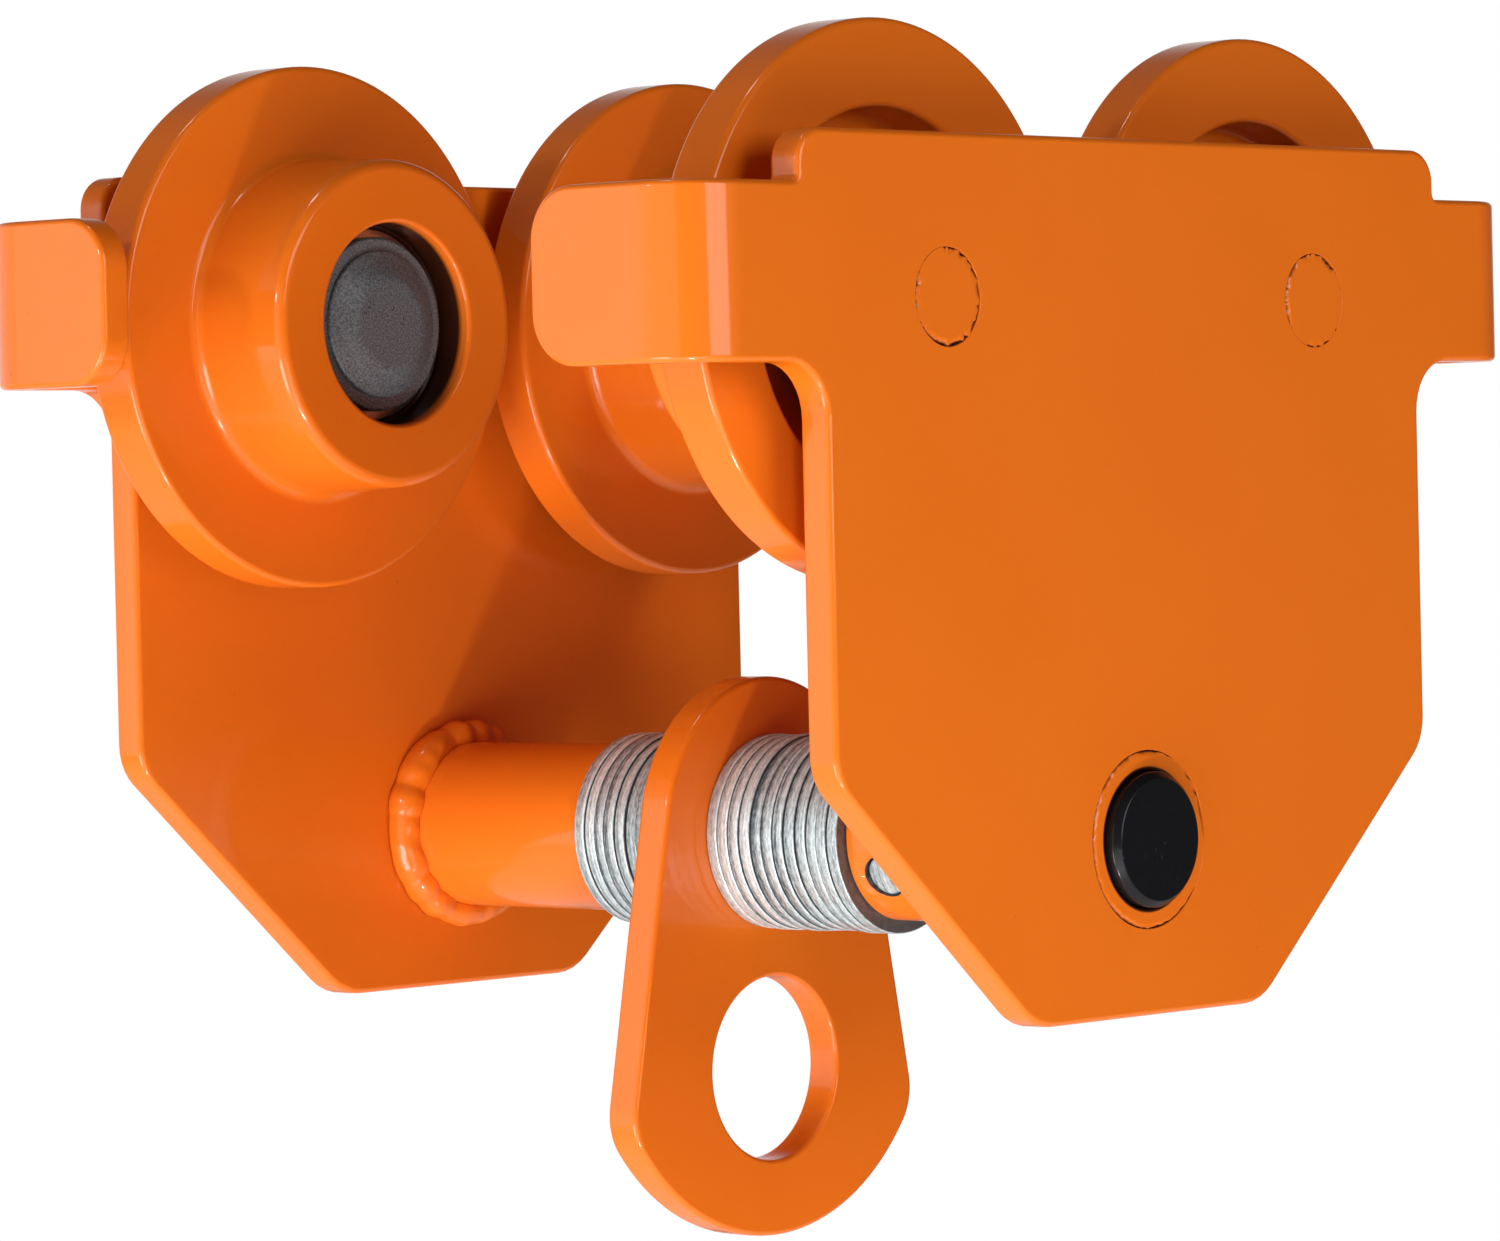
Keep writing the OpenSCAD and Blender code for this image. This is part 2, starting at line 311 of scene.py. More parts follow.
@dataclass
class Slab:
    """A flat plate with rounded edges and holes, which a rule may then bend."""

    outline: Loop
    holes: list[tuple[Loop, float]]
    thickness: float
    edge_radius: float
    creases: list[float] = field(default_factory=list)
    edge_steps: int = 5

    def rims(self, loop: Loop, radius: float) -> list[list[tuple[float, float, float]]]:
        """The rings of one edge, from the front face round to the back face."""
        here = np.array(loop)
        ahead = np.roll(here, -1, axis=0) - here
        ahead /= np.linalg.norm(ahead, axis=1)[:, None]
        inward = np.stack([-ahead[:, 1], ahead[:, 0]], axis=1)
        before = np.roll(inward, 1, axis=0)
        mitre = (inward + before) / (1 + (inward * before).sum(axis=1))[:, None]
        rings = []
        turns = [k * math.pi / 2 / self.edge_steps for k in range(self.edge_steps + 1)]
        fronts = [(radius * (1 - math.sin(t)), radius * (1 - math.cos(t))) for t in turns]
        backs = [(inset, self.thickness - depth) for inset, depth in reversed(fronts)]
        for inset, depth in fronts + backs:
            ring = here + mitre * inset
            rings.append([(x, depth, z) for x, z in ring])
        return rings

    def build(self, bend: Callable[[float, float, float], Vector]) -> Solid:
        """Makes the plate's points and faces.

        Args:
            bend: takes (along, depth, up) on the flat blank to a place in the row frame.

        Returns:
            The points and faces.
        """
        points: list[Vector] = []
        faces: list[tuple[int, ...]] = []
        flat: list[Point] = []
        edges: list[Loop] = []
        links: list[tuple[int, int]] = []
        front: list[int] = []
        back: list[int] = []
        for loop, radius in [(self.outline, self.edge_radius), *self.holes]:
            rings = self.rims(loop, radius)
            size, start = len(loop), len(points)
            for ring in rings:
                points.extend(bend(*p) for p in ring)
            for r in range(len(rings) - 1):
                for i in range(size):
                    j = (i + 1) % size
                    low, high = start + r * size, start + (r + 1) * size
                    faces.append((low + i, low + j, high + j, high + i))
            base = len(flat)
            edges.append([(x, z) for x, _, z in rings[0]])
            flat.extend(edges[-1])
            links.extend((base + i, base + (i + 1) % size) for i in range(size))
            front.extend(range(start, start + size))
            back.extend(range(start + (len(rings) - 1) * size, start + len(rings) * size))
        links.extend(self.crease_links(flat))
        for triangle in self.triangles(flat, links, edges):
            faces.append(tuple(front[i] for i in triangle))
            faces.append(tuple(back[i] for i in reversed(triangle)))
        return points, faces

    def crease_links(self, flat: list[Point]) -> list[tuple[int, int]]:
        """Pairs the points at the two ends of each crease, so that faces end on it."""
        links = []
        for place in self.creases:
            ends = [i for i, (x, _) in enumerate(flat) if abs(x - place) < 1e-6]
            if len(ends) == 2:
                links.append((ends[0], ends[1]))
        return links

    def triangles(
        self, flat: list[Point], links: list[tuple[int, int]], edges: list[Loop]
    ) -> list[list[int]]:
        """Fills the flat face between its outer edge and the edges of its holes.

        Args:
            flat: the points of the face.
            links: pairs of points that a triangle's side must join.
            edges: the outer edge, then each hole's edge.

        Returns:
            Triangles, as indices of points.
        """
        found = delaunay_2d_cdt([Vector(p) for p in flat], links, [], 0, 1e-9)
        places, faces, sources = found[0], found[2], found[3]
        solid = []
        for face in faces:
            middle = sum((places[i] for i in face), Vector((0, 0))) / len(face)
            if inside(middle, edges[0]) and not any(inside(middle, e) for e in edges[1:]):
                solid.append([sources[i][0] for i in face])
        return solid


def inside(point: Vector, loop: Loop) -> bool:
    """Whether a point lies inside a closed loop."""
    within = False
    for i, (x0, y0) in enumerate(loop):
        x1, y1 = loop[i - 1]
        if (y0 > point.y) != (y1 > point.y):
            if point.x < (x1 - x0) * (point.y - y0) / (y1 - y0) + x0:
                within = not within
    return within


def crack_depth(angle: float, seed: float, worn: float) -> float:
    """How open a painted-over joint is at one angle.

    Args:
        angle: the angle round the joint.
        seed: picks one joint's pattern.
        worn: the angle at which the paint has opened most.

    Returns:
        0 where the paint bridges the joint, up to 1 where it is wide open.
    """
    at = Vector((math.cos(angle), math.sin(angle), seed))
    broad = 0.30 * math.cos(angle - worn) + 0.9 * noise.noise(at * 1.7)
    fine = noise.noise(at * 11.0)
    return max(0.0, min(1.0, 0.36 + broad + 0.9 * fine))


def joint_opener(rim: float, face: float, notch: float, seed: float, worn: float) -> Rule:
    """Makes a rule that cracks the paint over a round joint by a different width at each angle.

    Args:
        rim: the joint's radius.
        face: the height of the painted face.
        notch: the distance from the rim to the crack's inner side in the profile.
        seed: picks one joint's pattern.
        worn: the angle at which the paint has opened most.

    Returns:
        A rule that takes a point's radius, height and angle to its new radius and height.
    """

    def sink(radius: float, height: float, angle: float) -> tuple[float, float]:
        """Moves the points of the face that lie beside the joint."""
        if height > face + 0.0001 or radius < rim - notch * 1.5:
            return radius, height
        open_by = crack_depth(angle, seed, worn)
        deeper = 0.0006 * open_by if radius > rim - notch * 0.75 else 0.0
        return rim - (rim - radius) * (0.25 + 2.4 * open_by), height + deeper

    return sink


# ---- Shader helpers ----------------------------------------------------------------------


class Signal:
    """A shader socket that Python's arithmetic can be used on."""

    def __init__(self, shader: "Shader", socket: bpy.types.NodeSocket) -> None:
        """Wraps one output socket of a shader's node tree."""
        self.shader = shader
        self.socket = socket

    def math(self, operation: str, first: object, second: object = 0.0) -> "Signal":
        """Adds one Math node on two values."""
        return self.shader.make("ShaderNodeMath", {"operation": operation}, {0: first, 1: second})

    def __add__(self, other: object) -> "Signal":
        """self + other"""
        return self.math("ADD", self, other)

    __radd__ = __add__

    def __mul__(self, other: object) -> "Signal":
        """self * other"""
        return self.math("MULTIPLY", self, other)

    __rmul__ = __mul__

    def __sub__(self, other: object) -> "Signal":
        """self - other"""
        return self.math("SUBTRACT", self, other)

    def __rsub__(self, other: object) -> "Signal":
        """other - self"""
        return self.math("SUBTRACT", other, self)

    def between(self, low: float, high: float) -> "Signal":
        """0 below low and 1 above high, with a smooth rise."""
        settings = {"interpolation_type": "SMOOTHSTEP"}
        return self.shader.make("ShaderNodeMapRange", settings, {0: self, 1: low, 2: high})


class Shader:
    """A material's node tree while it is being built."""

    def __init__(self, name: str) -> None:
        """Starts an empty material."""
        self.material = bpy.data.materials.new(name)
        self.material.use_nodes = True
        self.tree = self.material.node_tree
        self.tree.nodes.clear()
        self.place = self.make("ShaderNodeTexCoord", {}, {}, "Object")

    def make(
        self,
        kind: str,
        settings: dict[str, object],
        inputs: dict[int | str, object],
        output: int | str = 0,
    ) -> Signal:
        """Adds a node.

        Args:
            kind: the node's type.
            settings: its properties.
            inputs: values or signals for its sockets, by name or number.
            output: the socket that is returned.

        Returns:
            The chosen output.
        """
        node = self.tree.nodes.new(kind)
        for key, value in settings.items():
            setattr(node, key, value)
        for key, value in inputs.items():
            if isinstance(value, Signal):
                self.tree.links.new(value.socket, node.inputs[key])
            else:
                node.inputs[key].default_value = value
        return Signal(self, node.outputs[output])

    def noise(self, scale: float, detail: float = 3.0, roughness: float = 0.5) -> Signal:
        """Cloudy noise from 0 to 1 on the piece's own coordinates."""
        inputs = {"Vector": self.place, "Scale": scale, "Detail": detail, "Roughness": roughness}
        return self.make("ShaderNodeTexNoise", {}, inputs, 0)

    def cells(self, scale: float) -> Signal:
        """Distance to the middle of the nearest of many scattered cells."""
        inputs = {"Vector": self.place, "Scale": scale}
        return self.make("ShaderNodeTexVoronoi", {}, inputs, "Distance")

    def mark(self, name: str) -> Signal:
        """A number that the mesh holds for each point."""
        return self.make("ShaderNodeAttribute", {"attribute_name": name}, {}, "Fac")

    def blend(self, factor: object, low: object, high: object) -> Signal:
        """Mixes two colours."""
        settings = {"data_type": "RGBA"}
        colours = {6: (*low, 1.0) if isinstance(low, tuple) else low}
        colours[7] = (*high, 1.0) if isinstance(high, tuple) else high
        return self.make("ShaderNodeMix", settings, {0: factor, **colours}, 2)

    def bump(self, height: Signal, strength: float, distance: float) -> Signal:
        """Relief from a height signal."""
        inputs = {"Height": height, "Strength": strength, "Distance": distance}
        return self.make("ShaderNodeBump", {}, inputs)

    def close(self, inputs: dict[int | str, object]) -> bpy.types.Material:
        """Ends the tree in a Principled surface and returns the material."""
        surface = self.make("ShaderNodeBsdfPrincipled", {}, inputs)
        self.make_output(surface)
        return self.material

    def make_output(self, surface: Signal) -> None:
        """Links a surface to the material's output."""
        node = self.tree.nodes.new("ShaderNodeOutputMaterial")
        self.tree.links.new(surface.socket, node.inputs["Surface"])


# ---- Finishes ----------------------------------------------------------------------------


@dataclass(frozen=True)
class Enamel:
    """Glossy orange enamel with a faint orange-peel skin, dark specks and dark cracked joints, and painted
    shade down in the wheels' and sleeves' mouths.
    """

    name: str = "orange_enamel"
    colour: Colour = (0.80, 0.163, 0.009)
    deep: Colour = (0.785, 0.156, 0.008)
    dirt_and_shade: Colour = (0.035, 0.008, 0.003)
    roughness: float = 0.32

    def build(self) -> bpy.types.Material:
        """Makes the material."""
        s = Shader(self.name)
        clouds = s.noise(22.0, 2.0).between(0.3, 0.7)
        paint = s.blend(clouds, self.colour, self.deep)
        specks = (1 - s.cells(260.0).between(0.035, 0.07)) * s.noise(45.0).between(0.60, 0.70)
        paint = s.blend(specks * 0.5, paint, self.dirt_and_shade)
        # Marked points go near black: dark cracked joints round the axle ends and sleeves, and painted
        # shade down in the wheels' mouths and round the bar at the sleeves' mouths.
        paint = s.blend(s.mark("dirt_and_shade"), paint, self.dirt_and_shade)
        peel = s.noise(420.0, 2.0) * 0.6 + s.noise(90.0, 2.0)
        return s.close(
            {
                "Base Color": paint,
                "Roughness": s.noise(60.0) * 0.10 + (self.roughness - 0.05),
                "Coat Weight": 0.55,
                "Coat Roughness": 0.08,
                "Specular IOR Level": 0.12,
                "Normal": s.bump(peel, 0.10, 0.0004),
            }
        )


@dataclass(frozen=True)
class Blackening:
    """Glossy black finish of the load bar, with fine scuffs."""

    name: str = "glossy_black"
    colour: Colour = (0.007, 0.007, 0.008)
    worn: Colour = (0.06, 0.06, 0.065)

    def build(self) -> bpy.types.Material:
        """Makes the material."""
        s = Shader(self.name)
        scuffs = s.noise(900.0, 4.0, 0.7).between(0.60, 0.72) * s.noise(110.0).between(0.5, 0.66)
        return s.close(
            {
                "Base Color": s.blend(scuffs * 0.6, self.colour, self.worn),
                "Roughness": s.noise(200.0) * 0.12 + 0.20,
                "Coat Weight": 0.15,
                "Coat Roughness": 0.05,
                "Specular IOR Level": 0.18,
                "Normal": s.bump(s.noise(300.0, 2.0), 0.10, 0.0003),
            }
        )


@dataclass(frozen=True)
class Forging:
    """Dark grey blasted forging: matte, sandy, with light speckle and black pits."""

    name: str = "blasted_forging"
    dark: Colour = (0.075, 0.086, 0.093)
    light: Colour = (0.20, 0.225, 0.24)
    pit: Colour = (0.006, 0.006, 0.007)

    def build(self) -> bpy.types.Material:
        """Makes the material."""
        s = Shader(self.name)
        sand = s.noise(2600.0, 3.0, 0.7)
        grey = s.blend(sand.between(0.38, 0.66), self.dark, self.light)
        pits = (1 - s.cells(950.0).between(0.10, 0.22)) * s.noise(170.0).between(0.52, 0.64)
        grey = s.blend(pits, grey, self.pit)
        grey = s.blend(s.mark("dirt_and_shade"), grey, self.pit)
        relief = sand * 0.6 - pits
        return s.close(
            {
                "Base Color": grey,
                "Roughness": 0.52 - sand * 0.22,
                "Metallic": 0.2,
                "Normal": s.bump(relief, 0.55, 0.00012),
            }
        )


@dataclass(frozen=True)
class Zinc:
    """Zinc-coated washers: speckled grey, with sheared rims that shine in places, and painted shade in the
    gaps between them.
    """

    name: str = "zinc_coat"
    dark: Colour = (0.075, 0.108, 0.128)
    light: Colour = (0.88, 1.0, 1.0)
    gap: Colour = (0.045, 0.056, 0.066)

    def build(self) -> bpy.types.Material:
        """Makes the material."""
        s = Shader(self.name)
        stretched = s.make(
            "ShaderNodeMapping", {}, {"Vector": s.place, "Scale": (1.0, 3.4, 1.0)}
        )
        inputs = {"Vector": stretched, "Scale": 700.0, "Detail": 5.0, "Roughness": 0.7}
        grain = s.make("ShaderNodeTexNoise", {}, inputs, 0)
        bands = s.make(
            "ShaderNodeTexNoise",
            {},
            {
                "Vector": s.make(
                    "ShaderNodeMapping", {}, {"Vector": s.place, "Scale": (0.02, 1.0, 0.02)}
                ),
                "Scale": 900.0,
                "Detail": 1.0,
            },
            0,
        )
        tone = s.mark("tone") * 0.35 + s.mark("shear") * 0.30
        level = grain.between(0.32, 0.68) * 0.45 + bands.between(0.40, 0.60) * 0.30 + tone
        grey = s.blend(level - 0.22, self.dark, self.light)
        return s.close(
            {
                # The gaps between washers, marked by gap_shade, darken towards the gap colour as painted
                # shade.
                "Base Color": s.blend(s.mark("dirt_and_shade") * 0.85, grey, self.gap),
                "Roughness": 0.46 - grain * 0.20,
                "Metallic": 0.45,
                "Normal": s.bump(grain + bands * 0.5, 0.45, 0.00015),
            }
        )


@dataclass(frozen=True)
class GroundSteel:
    """Machined steel of the bearing races, collars and balls, with fine turning marks."""

    name: str
    colour: Colour
    roughness: float
    mark_scale: float

    def build(self) -> bpy.types.Material:
        """Makes the material."""
        s = Shader(self.name)
        fine = s.noise(self.mark_scale, 4.0, 0.6)
        duller = tuple(0.82 * c for c in self.colour)
        return s.close(
            {
                "Base Color": s.blend(fine, duller, self.colour),
                "Roughness": fine * 0.12 + (self.roughness - 0.06),
                "Metallic": 1.0,
                "Normal": s.bump(fine, 0.08, 0.00005),
            }
        )


@dataclass(frozen=True)
class SealRubber:
    """Black nitrile rubber of the bearing seals."""

    name: str = "seal_rubber_black"
    colour: Colour = (0.018, 0.018, 0.018)

    def build(self) -> bpy.types.Material:
        """Makes the material."""
        s = Shader(self.name)
        grain = s.noise(1500.0, 3.0)
        return s.close(
            {
                "Base Color": s.blend(grain, self.colour, (0.034, 0.034, 0.034)),
                "Roughness": grain * 0.15 + 0.5,
                "Normal": s.bump(grain, 0.3, 0.0001),
            }
        )


@dataclass
class Palette:
    """Every finish of the trolley, made once."""

    paint: bpy.types.Material = field(default_factory=lambda: Enamel().build())
    black: bpy.types.Material = field(default_factory=lambda: Blackening().build())
    forging: bpy.types.Material = field(default_factory=lambda: Forging().build())
    zinc: bpy.types.Material = field(default_factory=lambda: Zinc().build())
    race: bpy.types.Material = field(
        default_factory=lambda: GroundSteel("race_steel", (0.62, 0.63, 0.64), 0.24, 900.0).build()
    )
    collar: bpy.types.Material = field(
        default_factory=lambda: GroundSteel("turned_steel", (0.50, 0.51, 0.52), 0.38, 500.0).build()
    )
    ball: bpy.types.Material = field(
        default_factory=lambda: GroundSteel("ball_steel", (0.78, 0.79, 0.80), 0.12, 1200.0).build()
    )
    cage: bpy.types.Material = field(
        default_factory=lambda: GroundSteel("cage_strip", (0.60, 0.52, 0.36), 0.32, 700.0).build()
    )
    rubber: bpy.types.Material = field(default_factory=lambda: SealRubber().build())


def finish_piece(piece: bpy.types.Object, body: str, slot: str, *nodes: str) -> None:
    """Rides a piece on its body and hides the CAD nodes it stands for."""
    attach(piece, body)
    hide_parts(*nodes)
    log.info("%s: %d faces on %s", piece.name, len(piece.data.polygons), body)


def dress(node: str, material: bpy.types.Material) -> None:
    """Gives a CAD node a finish and leaves its shape alone."""
    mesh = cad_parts[node].data
    mesh.materials.clear()
    mesh.materials.append(material)
    log.info("%s: kept, with %s", node, material.name)


# ---- Side plates -------------------------------------------------------------------------


@dataclass
class SidePlate:
    """One side plate: a flat body with two bumper arms bent in at its upper corners."""

    side: Side
    thickness: float = 0.0065
    outer_face: float = 0.088
    tab_half: float = 0.08925
    tab_top: float = 0.058
    tab_corner: float = 0.006
    arm_top: float = 0.049
    arm_low: float = 0.019
    arm_reach: float = 0.1165
    arm_depth: float = 0.036
    arm_bend: float = 0.013
    arm_corner: float = 0.009
    arm_root: float = 0.0095
    body_half: float = 0.083
    slant_top: float = -0.051
    slant_round: float = 0.010
    foot_half: float = 0.032
    foot_low: float = -0.096
    foot_round: float = 0.012
    axle_x: float = 0.0515
    axle_z: float = 0.030
    axle_radius: float = 0.0085
    bar_z: float = -0.065
    sleeve_radius: float = 0.01575
    edge_round: float = 0.0011
    hole_round: float = 0.00012
    bend_steps: int = 22

    @property
    def node(self) -> str:
        """The CAD node that this plate stands for."""
        return f"side_plate_{self.side.value}"

    @property
    def bend_start(self) -> float:
        """Where the flat plate ends and the arm's bend begins."""
        return self.arm_reach - self.arm_bend

    @property
    def bend_length(self) -> float:
        """Length of the bend along the middle of the plate."""
        return math.pi / 2 * (self.arm_bend - self.thickness / 2)

    def outline(self) -> Loop:
        """The flat blank's outline, with the arms unrolled."""
        tip = self.bend_start + self.bend_length + self.arm_depth - self.arm_bend
        right = [
            Corner(self.foot_half, self.foot_low, self.foot_round),
            Corner(self.body_half, self.slant_top, self.slant_round),
            Corner(self.body_half, self.arm_low, self.arm_root),
            Corner(tip, self.arm_low, self.arm_corner),
            Corner(tip, self.arm_top, self.arm_corner),
            Corner(self.tab_half, self.arm_top, 0.0012),
            Corner(self.tab_half, self.tab_top, self.tab_corner),
        ]
        left = [Corner(-c.x, c.y, c.radius) for c in reversed(right)]
        return cut_across(without_repeats(round_corners(right + left)), self.creases())

    def creases(self) -> list[float]:
        """Places across the blank where faces end, so that the bends come out round."""
        steps = [self.bend_length * k / self.bend_steps for k in range(self.bend_steps + 1)]
        return [sign * (self.bend_start + s) for sign in (-1, 1) for s in steps]

    def bend(self, along: float, depth: float, up: float) -> Vector:
        """Takes a point of the flat blank to its place on the bent plate."""
        over = abs(along) - self.bend_start
        if over <= 0:
            place = Vector((along, -self.outer_face + depth, up))
        elif over < self.bend_length:
            turn = over / self.bend_length * math.pi / 2
            reach = self.arm_bend - depth
            x = self.bend_start + reach * math.sin(turn)
            y = -self.outer_face + self.arm_bend - reach * math.cos(turn)
            place = Vector((math.copysign(x, along), y, up))
        else:
            x = self.arm_reach - depth
            y = -self.outer_face + self.arm_bend + over - self.bend_length
            place = Vector((math.copysign(x, along), y, up))
        return self.side.turn @ place

    def build(self, palette: Palette) -> None:
        """Makes the plate."""
        holes = [(sign * self.axle_x, self.axle_z, self.axle_radius) for sign in (-1, 1)]
        holes.append((0.0, self.bar_z, self.sleeve_radius))
        slab = Slab(
            outline=self.outline(),
            holes=[(circle_loop(*hole), self.hole_round) for hole in holes],
            thickness=self.thickness,
            edge_radius=self.edge_round,
            creases=self.creases(),
        )
        points, faces = slab.build(self.bend)
        piece = make_piece(f"{self.side.value}_plate", points, faces, palette.paint)
        finish_piece(piece, "frame", "orange_paint", self.node)


# ---- Wheels ------------------------------------------------------------------------------


@dataclass
class WheelSet:
    """One flanged wheel on its sealed bearing, with the riveted axle that carries it."""

    number: int
    flange_radius: float = 0.048245
    flange: float = 0.010
    root_radius: float = 0.031
    tread_radius: float = 0.030
    mouth_radius: float = 0.0185
    race_radius: float = 0.0175
    lip_radius: float = 0.0145
    recess_radius: float = 0.033
    recess: float = 0.0100
    race_back: float = 0.0132
    race_front: float = 0.0232
    length: float = 0.031
    shank_radius: float = 0.0085
    boss_radius: float = 0.0105
    boss: float = 0.001
    washer_radius: float = 0.016
    washer: float = 0.0018
    head_radius: float = 0.0135
    head_flat: float = 0.0085
    head_rim: float = 0.0007
    head_dome: float = 0.0031
    end_cap: float = 0.0008
    plate_gap: float = 0.007
    plate: float = 0.0065

    @property
    def side(self) -> Side:
        """The side plate that carries this wheel."""
        return Side.NEAR if self.number < 3 else Side.FAR

    @property
    def worn(self) -> float:
        """The angle at which the paint round the axle's end has opened most."""
        return math.radians(-25 if self.number % 2 else 150)

    @property
    def place(self) -> Matrix:
        """Takes a shape on the wheel's own axis, with its back at 0, to the row frame."""
        low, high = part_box(f"wheel_{self.number}")
        middle = (low + high) / 2
        back = low.y if self.side is Side.NEAR else high.y
        return Matrix.Translation((middle.x, back, middle.z)) @ self.side.turn

    def wheel_profile(self) -> Loop:
        """Section of the wheel, from its back to its hub face."""
        return round_corners(
            [
                Corner(self.lip_radius, self.recess, 0.0004),
                Corner(self.recess_radius, self.recess, 0.0020),
                Corner(self.recess_radius, 0.0, 0.0012),
                Corner(self.flange_radius, 0.0, 0.0011),
                Corner(self.flange_radius, self.flange, 0.0012),
                Corner(self.root_radius, self.flange, 0.0022),
                Corner(self.tread_radius, self.length, 0.0022),
                Corner(self.mouth_radius, self.length, 0.0009),
                Corner(self.mouth_radius, self.length - 0.0016),
                Corner(self.mouth_radius, self.length - 0.0028),
                Corner(self.mouth_radius, self.race_front, 0.0003),
                Corner(self.race_radius, self.race_front),
                Corner(self.race_radius, self.race_back),
                Corner(self.lip_radius, self.race_back, 0.0003),
            ]
        )

    def head_profile(self) -> Loop:
        """Section of the axle: its shank, and the shallow domed head with a flat middle."""
        base = self.race_front + self.boss + self.washer
        start = -(self.plate_gap + self.plate) + self.end_cap
        return round_corners(
            [
                Corner(0.0, start),
                Corner(self.shank_radius - 0.00002, start, 0.0001),
                Corner(self.shank_radius - 0.00002, base),
                Corner(self.head_radius, base, 0.0001),
                Corner(self.head_radius, base + self.head_rim, 0.0006),
                Corner(self.head_flat, base + self.head_dome, 0.0050),
                Corner(0.0, base + self.head_dome),
            ],
            closed=False,
        )

    def washer_profile(self) -> Loop:
        """Section of the washer under the head, with the boss that bears on the inner race."""
        return round_corners(
            [
                Corner(self.shank_radius, self.race_front, 0.0001),
                Corner(self.boss_radius, self.race_front, 0.0001),
                Corner(self.boss_radius, self.race_front + self.boss),
                Corner(self.washer_radius, self.race_front + self.boss, 0.0004),
                Corner(self.washer_radius, self.race_front + self.boss + self.washer, 0.0007),
                Corner(self.shank_radius, self.race_front + self.boss + self.washer, 0.0001),
            ]
        )

    def build_end(self, palette: Palette) -> None:
        """Makes the riveted end that shows, painted over, in the plate's outer face."""
        outer = -(self.plate_gap + self.plate)
        rim = self.shank_radius - 0.00003
        notch = 0.00030
        profile = [
            (0.0, outer + self.end_cap),
            (rim, outer + self.end_cap),
            (rim, outer + 0.0006),
            (rim, outer),
            (rim - notch / 2, outer),
            (rim - notch, outer),
            (rim - 5 * notch, outer),
            (0.0, outer),
        ]

        sink = joint_opener(rim, outer, notch, 3.7 * self.number, self.worn)
        name = f"axle_end_{self.number}"
        piece = turned_piece(name, profile, self.place, 240, palette.paint, sink, self.darkening)
        finish_piece(piece, "frame", "orange_paint", f"axle_{self.number}")

    def mouth_shade(self, local: Vector) -> float:
        """How much painted shade darkens the wheel at a point on its own axis: only down in its mouth."""
        if math.hypot(local.x, local.z) > self.mouth_radius + 0.0002:
            return 0.0
        return min(1.0, max(0.0, (self.length - 0.0016 - local.y) / 0.0012))

    def darkening(self, local: Vector) -> float:
        """How dark the joint round the axle's end is at a point on the wheel's own axis."""
        outer = -(self.plate_gap + self.plate)
        if math.hypot(local.x, local.z) < self.shank_radius - 0.0011:
            return 0.0
        return min(1.0, max(0.0, (local.y - outer) / 0.00012))

    def build(self, palette: Palette) -> None:
        """Makes the wheel, its axle and washer, and dresses the bearing inside."""
        n = self.number
        place = self.place
        name, profile = f"flanged_wheel_{n}", self.wheel_profile()
        # The mouth's wall goes near black below its rim as painted shade.
        wheel = turned_piece(name, profile, place, 160, palette.paint, dirt_and_shade=self.mouth_shade)
        finish_piece(wheel, f"wheel_{n}", "wheel_paint", f"wheel_{n}")
        axle = turned_piece(f"axle_rivet_{n}", self.head_profile(), place, 96, palette.forging)
        finish_piece(axle, "frame", "dark_forging", f"axle_{n}")
        washer = turned_piece(
            f"rivet_washer_{n}", self.washer_profile(), place, 96, palette.forging
        )
        finish_piece(washer, "frame", "dark_forging", f"head_washer_{n}")
        self.build_end(palette)
        finishes = {
            "axle_collar": palette.collar,
            "outer_race": palette.race,
            "inner_race": palette.race,
            "bearing_balls": palette.ball,
            "ball_cage": palette.cage,
            "seal_front": palette.rubber,
            "seal_back": palette.rubber,
        }
        for kind, material in finishes.items():
            dress(f"{kind}_{n}", material)


# ---- Load bar, sleeves, washers ------------------------------------------------------------


